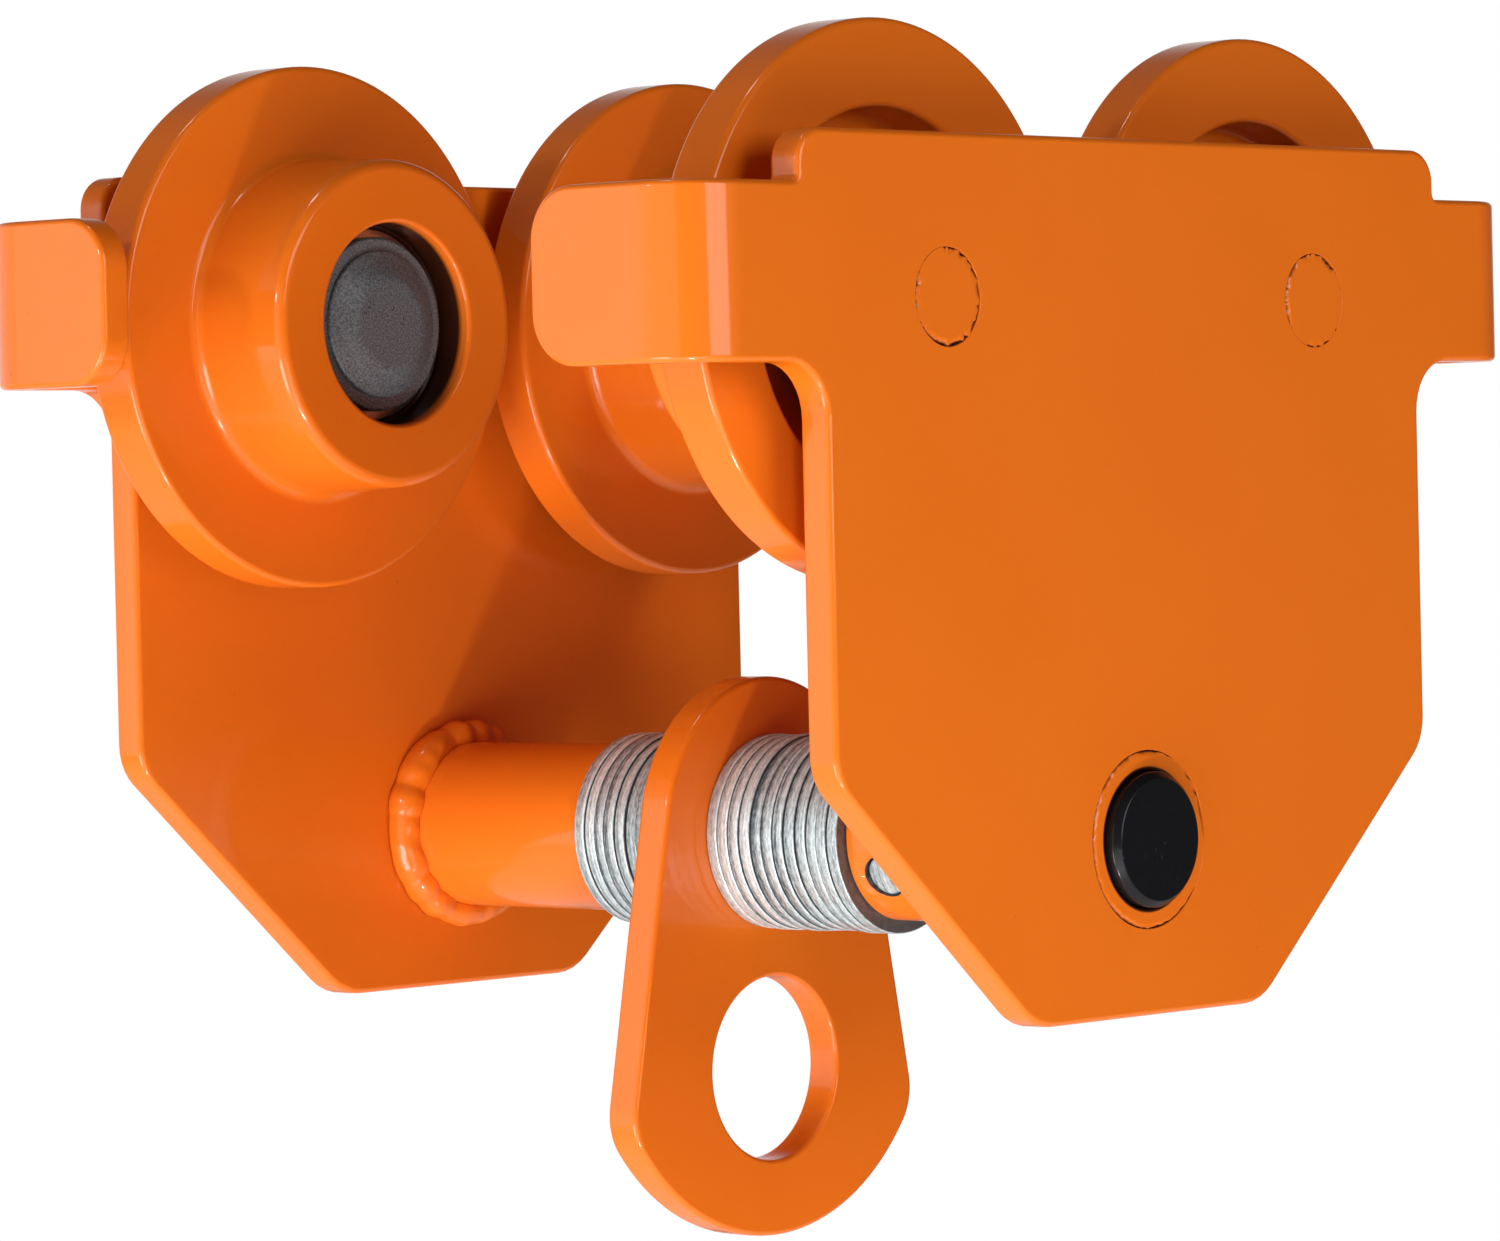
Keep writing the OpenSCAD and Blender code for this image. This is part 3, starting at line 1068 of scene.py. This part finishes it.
def washer_row_tree() -> bpy.types.NodeTree:
    """A tree that repeats a washer along Y, each a little thinner, lower and tilted than the next.

    Returns:
        The tree. Its inputs are Geometry, Count, Pitch, Play, Tilt, Seed and Finish.
    """
    tree = bpy.data.node_groups.new("washer_row", "GeometryNodeTree")
    face = tree.interface
    face.new_socket("Geometry", in_out="INPUT", socket_type="NodeSocketGeometry")
    face.new_socket("Count", in_out="INPUT", socket_type="NodeSocketInt")
    for title in ("Pitch", "Play", "Tilt"):
        face.new_socket(title, in_out="INPUT", socket_type="NodeSocketFloat")
    face.new_socket("Seed", in_out="INPUT", socket_type="NodeSocketInt")
    face.new_socket("Finish", in_out="INPUT", socket_type="NodeSocketMaterial")
    face.new_socket("Geometry", in_out="OUTPUT", socket_type="NodeSocketGeometry")

    def add(kind: str, settings: dict[str, object], inputs: dict[object, object]) -> bpy.types.Node:
        """Adds a node, sets its properties and fills its sockets."""
        node = tree.nodes.new(kind)
        for key, value in settings.items():
            setattr(node, key, value)
        for key, value in inputs.items():
            if isinstance(value, bpy.types.NodeSocket):
                tree.links.new(value, node.inputs[key])
            else:
                node.inputs[key].default_value = value
        return node

    given = tree.nodes.new("NodeGroupInput").outputs
    step = add("ShaderNodeCombineXYZ", {}, {"Y": given["Pitch"]}).outputs[0]
    row = add("GeometryNodeMeshLine", {}, {"Count": given["Count"], "Offset": step})
    vectors = {"data_type": "FLOAT_VECTOR"}
    ones = {"Min": (-1.0, 0.0, -1.0), "Max": (1.0, 0.0, 0.2), "Seed": given["Seed"]}
    drift = add("FunctionNodeRandomValue", vectors, ones).outputs[0]
    scaled = add("ShaderNodeVectorMath", {"operation": "SCALE"}, {0: drift, "Scale": given["Play"]})
    moved = add(
        "GeometryNodeSetPosition", {}, {"Geometry": row.outputs[0], "Offset": scaled.outputs[0]}
    )
    lean = {"Min": (-1.0, 0.0, -1.0), "Max": (1.0, 0.0, 1.0), "Seed": 11}
    turn = add("FunctionNodeRandomValue", vectors, lean).outputs[0]
    tilt = add("ShaderNodeVectorMath", {"operation": "SCALE"}, {0: turn, "Scale": given["Tilt"]})
    spin = {"Min": (0.0, 0.0, 0.0), "Max": (0.0, FULL_TURN, 0.0), "Seed": 23}
    spun = add("FunctionNodeRandomValue", vectors, spin).outputs[0]
    turned = add("ShaderNodeVectorMath", {"operation": "ADD"}, {0: tilt.outputs[0], 1: spun})
    thin = {"Min": (1.0, 0.90, 1.0), "Max": (1.0, 0.99, 1.0), "Seed": 5}
    size = add("FunctionNodeRandomValue", vectors, thin).outputs[0]
    spread = add(
        "GeometryNodeInstanceOnPoints",
        {},
        {
            "Points": moved.outputs[0],
            "Instance": given["Geometry"],
            "Rotation": turned.outputs[0],
            "Scale": size,
        },
    )
    chance = add("FunctionNodeRandomValue", {"data_type": "FLOAT"}, {"Seed": 31})
    toned = add(
        "GeometryNodeStoreNamedAttribute",
        {"data_type": "FLOAT", "domain": "INSTANCE"},
        {"Geometry": spread.outputs[0], "Name": "tone", "Value": chance.outputs[1]},
    )
    real = add("GeometryNodeRealizeInstances", {}, {0: toned.outputs[0]})
    coated = add(
        "GeometryNodeSetMaterial", {}, {"Geometry": real.outputs[0], "Material": given["Finish"]}
    )
    made = tree.nodes.new("NodeGroupOutput")
    tree.links.new(coated.outputs[0], made.inputs[0])
    return tree


def run_tree(
    piece: bpy.types.Object, tree: bpy.types.NodeTree, values: dict[str, object]
) -> None:
    """Runs a tree on a piece, keeps the result as its plain mesh and takes the modifier off.

    Args:
        piece: the piece whose mesh goes in and is replaced.
        tree: the tree to run.
        values: the tree's inputs, by name.
    """
    modifier = piece.modifiers.new("row", "NODES")
    modifier.node_group = tree
    for item in tree.interface.items_tree:
        if item.item_type == "SOCKET" and item.in_out == "INPUT" and item.name in values:
            modifier[item.identifier] = values[item.name]
    bake(piece, modifier)


@dataclass
class LoadBar:
    """The round load bar, its two welded sleeves and locking pins, and the spacer washers."""

    bar_radius: float = 0.012
    bar_chamfer: float = 0.0012
    axis_z: float = -0.065
    sleeve_radius: float = 0.01575
    sleeve_bore: float = 0.01220
    outer_face: float = 0.088
    inner_face: float = 0.0815
    weld_leg: float = 0.005
    washer_radius: float = 0.018
    washer_bore: float = 0.0127
    near_washers: int = 12
    far_washers: int = 10
    pin_radius: float = 0.0038
    pin_hole_radius: float = 0.00415
    pin_angle: float = math.radians(27)
    pin_foot: float = 0.0052
    drill_span: Point = (0.010, 0.020)

    def on_axis(self, y: float) -> Matrix:
        """Puts a turned shape on the bar's axis with its 0 at Y = y."""
        return Matrix.Translation((0.0, y, self.axis_z))

    def build_bar(self, palette: Palette) -> None:
        """Makes the bar."""
        low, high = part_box("load_bar")
        length = high.y - low.y
        profile = round_corners(
            [
                Corner(0.0, 0.0),
                Corner(self.bar_radius - self.bar_chamfer, 0.0, 0.0006),
                Corner(self.bar_radius, self.bar_chamfer, 0.0008),
                Corner(self.bar_radius, length - self.bar_chamfer, 0.0008),
                Corner(self.bar_radius - self.bar_chamfer, length, 0.0006),
                Corner(0.0, length),
            ],
            closed=False,
        )
        bar = turned_piece("round_bar", profile, self.on_axis(low.y), 128, palette.black)
        finish_piece(bar, "frame", "black_bar", "load_bar")

    def pin_place(self, side: Side) -> Matrix:
        """Puts a pin that runs along local Y through one side of the sleeve."""
        low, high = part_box(f"lock_pin_{side.value}")
        middle = (low + high) / 2
        outward = Vector((-math.cos(self.pin_angle), 0.0, -math.sin(self.pin_angle)))
        aim = Vector((0.0, 1.0, 0.0)).rotation_difference(side.turn @ outward)
        return Matrix.Translation((0.0, middle.y, self.axis_z)) @ aim.to_matrix().to_4x4()

    def build_sleeve(self, side: Side, palette: Palette) -> None:
        """Makes one sleeve with its pin hole."""
        low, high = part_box(f"sleeve_{side.value}")
        length = high.y - low.y
        notch = 0.00025
        profile = round_corners(
            [
                Corner(self.sleeve_bore, 0.0, 0.0005),
                Corner(self.sleeve_bore + 0.0008, 0.0),
                Corner(self.sleeve_radius - 5 * notch, 0.0),
                Corner(self.sleeve_radius - notch, 0.0),
                Corner(self.sleeve_radius - notch / 2, 0.0),
                Corner(self.sleeve_radius, 0.0),
                Corner(self.sleeve_radius, 0.0009),
                Corner(self.sleeve_radius, 0.0012),
                Corner(self.sleeve_radius, length, 0.0006),
                Corner(self.sleeve_bore, length, 0.0004),
            ]
        )
        start = side.turn @ Vector((0.0, -self.outer_face, 0.0))
        place = self.on_axis(start.y) @ side.turn
        seed = 1.3 if side is Side.NEAR else 8.1
        sink = joint_opener(self.sleeve_radius, 0.0, notch, seed, math.radians(140))
        name = f"{side.value}_tube"
        piece = turned_piece(name, profile, place, 240, palette.paint, sink, self.darkening)
        # The pin hole's wall takes the black rubber finish as painted shade in the hole.
        self.drill(piece, side, palette.rubber)
        finish_piece(piece, "frame", "orange_paint", f"sleeve_{side.value}")

    def darkening(self, local: Vector) -> float:
        """How dark the sleeve's end is at a point on its own axis: its cracked joint, and painted shade
        round the bar at its mouth.
        """
        radius = math.hypot(local.x, local.z)
        # Painted shade: the mouth's edge goes fully dark, where the gap round the bar falls in shade.
        if radius < self.sleeve_bore + 0.0006 and local.y < 0.0010:
            return 1.0
        if radius < self.sleeve_radius - 0.0010 or local.y > 0.0010:
            return 0.0
        return min(1.0, max(0.0, local.y / 0.00012))

    def drill(self, piece: bpy.types.Object, side: Side, dark: bpy.types.Material) -> None:
        """Cuts the locking pin's hole through the sleeve's wall and gives the hole's wall the given
        near-black finish as painted shade in the hole.
        """
        near_end, far_end = self.drill_span
        profile = [(0.0, near_end), (self.pin_hole_radius, near_end)]
        profile += [(self.pin_hole_radius, far_end), (0.0, far_end)]
        cutter = turned_piece("cutter", profile, self.pin_place(side), 64, dark)
        cut = piece.modifiers.new("hole", "BOOLEAN")
        cut.object = cutter
        cut.solver = "EXACT"
        cut.material_mode = "TRANSFER"
        bake(piece, cut)
        bpy.data.objects.remove(cutter)

    def build_pin(self, side: Side, palette: Palette) -> None:
        """Makes one locking pin, its end filed to a low dome."""
        profile = round_corners(
            [
                Corner(0.0, self.pin_foot),
                Corner(self.pin_radius, self.pin_foot, 0.0002),
                Corner(self.pin_radius, self.sleeve_radius - 0.0006, 0.0007),
                Corner(0.0, self.sleeve_radius - 0.0001),
            ],
            closed=False,
        )
        points, faces = lathe(profile, self.pin_place(side), 64)
        piece = make_piece(
            f"{side.value}_pin", points, faces, palette.zinc, {"tone": [0.6] * len(points)}
        )
        finish_piece(piece, "frame", "galvanised", f"lock_pin_{side.value}")

    def build_weld(self, side: Side, palette: Palette) -> None:
        """Makes the lumpy bead between the sleeve and the plate's inner face."""
        leg = self.weld_leg
        profile = [(self.sleeve_radius - 0.0004, -0.0003)]
        for k in range(11):
            turn = math.pi / 2 * k / 10
            bulge = 1.0 + 0.16 * math.sin(2 * turn)
            profile.append(
                (
                    self.sleeve_radius - 0.0004 + leg * 0.90 * math.cos(turn) * bulge,
                    leg * 1.02 * math.sin(turn) * bulge,
                )
            )
        seed = 2.0 if side is Side.NEAR else 5.0

        def lump(radius: float, height: float, angle: float) -> tuple[float, float]:
            """Ripples the bead round its ring."""
            over = radius - self.sleeve_radius
            if over < 0 and height < 0:
                return radius, height
            at = Vector((math.cos(angle), math.sin(angle), seed))
            ripple = abs(math.sin(7 * angle + 3.4 * noise.noise(at * 1.5)))
            swell = 0.90 + 0.12 * ripple + 0.24 * noise.noise(at * 2.1)
            swell = min(1.06, swell) + 0.05 * noise.noise(at * 7.0 + Vector((0.0, 0.0, 400 * over)))
            return self.sleeve_radius + over * swell, height * swell

        start = side.turn @ Vector((0.0, -self.inner_face, 0.0))
        place = self.on_axis(start.y) @ side.turn
        piece = turned_piece(f"{side.value}_bead", profile, place, 240, palette.paint, lump)
        finish_piece(piece, "frame", "orange_paint", f"weld_{side.value}")

    def build_washers(
        self, side: Side, count: int, tree: bpy.types.NodeTree, palette: Palette
    ) -> None:
        """Makes the stack of spacer washers on one side of the lug."""
        low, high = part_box(f"spacers_{side.value}")
        pitch = (high.y - low.y) / count
        profile = round_corners(
            [
                Corner(self.washer_bore, -pitch / 2, 0.0002),
                Corner(self.washer_radius, -pitch / 2, 0.00028),
                Corner(self.washer_radius, pitch * 0.05, 0.0006),
                Corner(self.washer_radius - 0.00012, pitch * 0.12, 0.0006),
                Corner(self.washer_radius - 0.00006, pitch / 2, 0.00042),
                Corner(self.washer_bore, pitch / 2, 0.0002),
            ],
            per_quarter=4,
        )
        points, faces = lathe(profile, Matrix.Identity(4), 112)
        marks = {
            "shear": [min(1.0, max(0.0, 0.5 - p.y / pitch * 3.0)) for p in points],
            "dirt_and_shade": [self.gap_shade(math.hypot(p.x, p.z)) for p in points],
        }
        piece = make_piece(f"{side.value}_washers", points, faces, palette.zinc, marks)
        values = {"Count": count, "Pitch": pitch, "Play": 0.00034, "Tilt": 0.006}
        values |= {"Seed": 7 if side is Side.NEAR else 19, "Finish": palette.zinc}
        run_tree(piece, tree, values)
        piece.data.transform(self.on_axis(low.y + pitch / 2))
        finish_piece(piece, "frame", "galvanised", f"spacers_{side.value}")

    def gap_shade(self, radius: float) -> float:
        """How dark a washer is at a radius: its faces fall into shade behind its rim."""
        return min(1.0, max(0.0, (self.washer_radius - 0.00012 - radius) / 0.00012))

    def build(self, palette: Palette) -> None:
        """Makes everything on the bar but the lug."""
        self.build_bar(palette)
        tree = washer_row_tree()
        for side, count in ((Side.NEAR, self.near_washers), (Side.FAR, self.far_washers)):
            self.build_sleeve(side, palette)
            self.build_pin(side, palette)
            self.build_weld(side, palette)
            self.build_washers(side, count, tree, palette)


# ---- Hanging lug -------------------------------------------------------------------------


@dataclass
class HangingLug:
    """The flat lug that swings on the bar: narrow at the bar, wide at the eye."""

    thickness: float = 0.007
    axis_z: float = -0.065
    bore_radius: float = 0.01208
    top_radius: float = 0.0285
    half_width: float = 0.0385
    low_radius: float = 0.0455
    corner_radius: float = 0.011
    drop: float = 0.075
    eye_drop: float = 0.044
    eye_radius: float = 0.017
    edge_round: float = 0.0010
    eye_round: float = 0.0009

    def outline(self) -> Loop:
        """The lug's outline, with its origin on the bar's axis."""
        arc_z = self.low_radius - self.drop
        corner_x = self.half_width - self.corner_radius
        fall = math.sqrt((self.low_radius - self.corner_radius) ** 2 - corner_x**2)
        corner_z = arc_z - fall
        return belt(
            [
                ((corner_x, corner_z), self.corner_radius),
                ((0.0, 0.0), self.top_radius),
                ((-corner_x, corner_z), self.corner_radius),
                ((0.0, arc_z), self.low_radius),
            ]
        )

    def build(self, palette: Palette) -> None:
        """Makes the lug."""
        low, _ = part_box("hanging_lug")
        slab = Slab(
            outline=without_repeats(self.outline()),
            holes=[
                (circle_loop(0.0, 0.0, self.bore_radius), 0.0003),
                (circle_loop(0.0, -self.eye_drop, self.eye_radius), self.eye_round),
            ],
            thickness=self.thickness,
            edge_radius=self.edge_round,
        )
        points, faces = slab.build(lambda x, depth, z: Vector((x, low.y + depth, self.axis_z + z)))
        piece = make_piece("eye_lug", points, faces, palette.paint)
        finish_piece(piece, "lug", "orange_paint", "hanging_lug")


# ---- Studio ------------------------------------------------------------------------------


@dataclass(frozen=True)
class Lamp:
    """One soft light panel that faces the trolley."""

    name: str
    place: tuple[float, float, float]
    width: float
    height: float
    watts: float
    aim: tuple[float, float, float] = (0.0, 0.0, -0.02)

    def build(self) -> None:
        """Makes the light."""
        data = bpy.data.lights.new(self.name, "AREA")
        data.shape = "RECTANGLE"
        data.size, data.size_y = self.width, self.height
        data.energy = self.watts
        lamp = bpy.data.objects.new(self.name, data)
        lamp.location = self.place
        way = Vector(self.aim) - Vector(self.place)
        lamp.rotation_euler = way.to_track_quat("-Z", "Y").to_euler()
        lamp.visible_camera = False
        bpy.context.scene.collection.objects.link(lamp)


@dataclass
class Studio:
    """The pale floor, the soft lights, the white surround and the camera."""

    target: tuple[float, float, float] = (-0.0058, 0.0, -0.0261)
    distance: float = 1.195
    azimuth: float = math.radians(-48.12)
    elevation: float = math.radians(1.15)
    roll: float = math.radians(-1.32)
    focal: float = 4.3293
    shift: Point = (0.00067, 0.00033)
    sensor: float = 36.0
    floor_z: float = -0.80
    floor_size: float = 4.0
    backdrop: tuple[float, float, float, float] = (0.10, 0.55, 0.05, 0.85)
    ceiling: tuple[float, float, float, float] = (0.15, 0.60, 1.0, 0.12)

    def build_floor(self) -> None:
        """Makes the floor, well below the hanging trolley."""
        s = Shader("pale_floor")
        grain = s.noise(14.0, 3.0)
        material = s.close(
            {
                "Base Color": s.blend(grain, (0.84, 0.84, 0.84), (0.88, 0.88, 0.88)),
                "Roughness": grain * 0.1 + 0.6,
            }
        )
        half = self.floor_size / 2
        corners = [(-half, -half), (half, -half), (half, half), (-half, half)]
        mesh = bpy.data.meshes.new("floor")
        mesh.from_pydata([(x, y, self.floor_z) for x, y in corners], [], [(0, 1, 2, 3)])
        mesh.materials.append(material)
        floor = bpy.data.objects.new("floor", mesh)
        bpy.context.scene.collection.objects.link(floor)

    def build_world(self) -> None:
        """Makes the surround: white to look at, and as a source of light bright only behind."""
        world = bpy.data.worlds.new("studio")
        bpy.context.scene.world = world
        world.use_nodes = True
        tree = world.node_tree
        tree.nodes.clear()
        kinds = ("Background", "Background", "TexCoord", "SeparateXYZ", "MapRange", "MapRange")
        kinds += ("Math", "LightPath", "MixShader", "OutputWorld")
        nodes = [tree.nodes.new(f"ShaderNode{kind}") for kind in kinds]
        seen, lit, way, split, ramp, fall, both, path, mix, out = nodes
        for shade in (seen, lit):
            shade.inputs["Color"].default_value = (1.0, 1.0, 1.0, 1.0)
        ends = ("From Min", "From Max", "To Min", "To Max")
        for rise, values in ((ramp, self.backdrop), (fall, self.ceiling)):
            rise.interpolation_type = "SMOOTHSTEP"
            for name, value in zip(ends, values):
                rise.inputs[name].default_value = value
        both.operation = "MULTIPLY"
        links = [
            (way.outputs["Generated"], split.inputs[0]),
            (split.outputs["Y"], ramp.inputs["Value"]),
            (split.outputs["Z"], fall.inputs["Value"]),
            (ramp.outputs[0], both.inputs[0]),
            (fall.outputs[0], both.inputs[1]),
            (both.outputs[0], lit.inputs["Strength"]),
            (path.outputs["Is Camera Ray"], mix.inputs[0]),
            (lit.outputs[0], mix.inputs[1]),
            (seen.outputs[0], mix.inputs[2]),
            (mix.outputs[0], out.inputs[0]),
        ]
        for source, target in links:
            tree.links.new(source, target)

    def build_camera(self) -> None:
        """Makes the camera from its angle, distance and roll round the target."""
        a, e, r = self.azimuth, self.elevation, self.roll
        right = Vector((math.cos(a), math.sin(a), 0.0))
        back = Vector((math.sin(a) * math.cos(e), -math.cos(a) * math.cos(e), math.sin(e)))
        up = back.cross(right)
        across = right * math.cos(r) + up * math.sin(r)
        rise = up * math.cos(r) - right * math.sin(r)
        data = bpy.data.cameras.new("camera")
        data.sensor_width = self.sensor
        data.lens = self.focal * data.sensor_width
        data.shift_x, data.shift_y = self.shift
        camera = bpy.data.objects.new("camera", data)
        turn = Matrix((across, rise, back)).transposed().to_4x4()
        camera.matrix_world = Matrix.Translation(Vector(self.target) + back * self.distance) @ turn
        bpy.context.scene.collection.objects.link(camera)
        bpy.context.scene.camera = camera

    def build(self) -> None:
        """Makes the whole studio."""
        self.build_camera()
        self.build_floor()
        self.build_world()
        lamps = [
            Lamp("left_wall", (-1.30, 0.30, -0.15), 2.3, 1.4, 8.5, aim=(0.0, 0.30, -0.15)),
            Lamp("left_key", (-1.12, -0.12, -0.70), 0.6, 0.6, 12.5),
            Lamp("low_key", (-0.55, -0.95, -0.60), 0.7, 0.7, 3.0),
            Lamp("floor_glow", (0.0, 0.0, -0.78), 2.6, 2.6, 7.5, aim=(0.0, 0.0, 0.0)),
            Lamp("front_panel", (0.0, -1.55, 0.40), 0.9, 0.9, 11.0),
            Lamp("top_spark", (-0.20, 0.10, 1.00), 0.14, 0.14, 1.0),
            Lamp("low_spark", (-0.42, -0.49, -0.66), 0.08, 0.08, 2.6),
            Lamp("side_spark", (-1.15, 0.10, 0.35), 0.08, 0.08, 1.8),
        ]
        for lamp in lamps:
            lamp.build()
        bpy.context.scene.view_settings.view_transform = "Standard"


def main() -> None:
    """Builds the trolley's sub-assemblies and the studio in order."""
    logging.basicConfig(level=logging.INFO, format="%(message)s")
    Studio().build()
    palette = Palette()
    for side in Side:
        SidePlate(side).build(palette)
    for number in range(1, 5):
        WheelSet(number).build(palette)
    LoadBar().build(palette)
    HangingLug().build(palette)


if __name__ == "__main__":
    main()
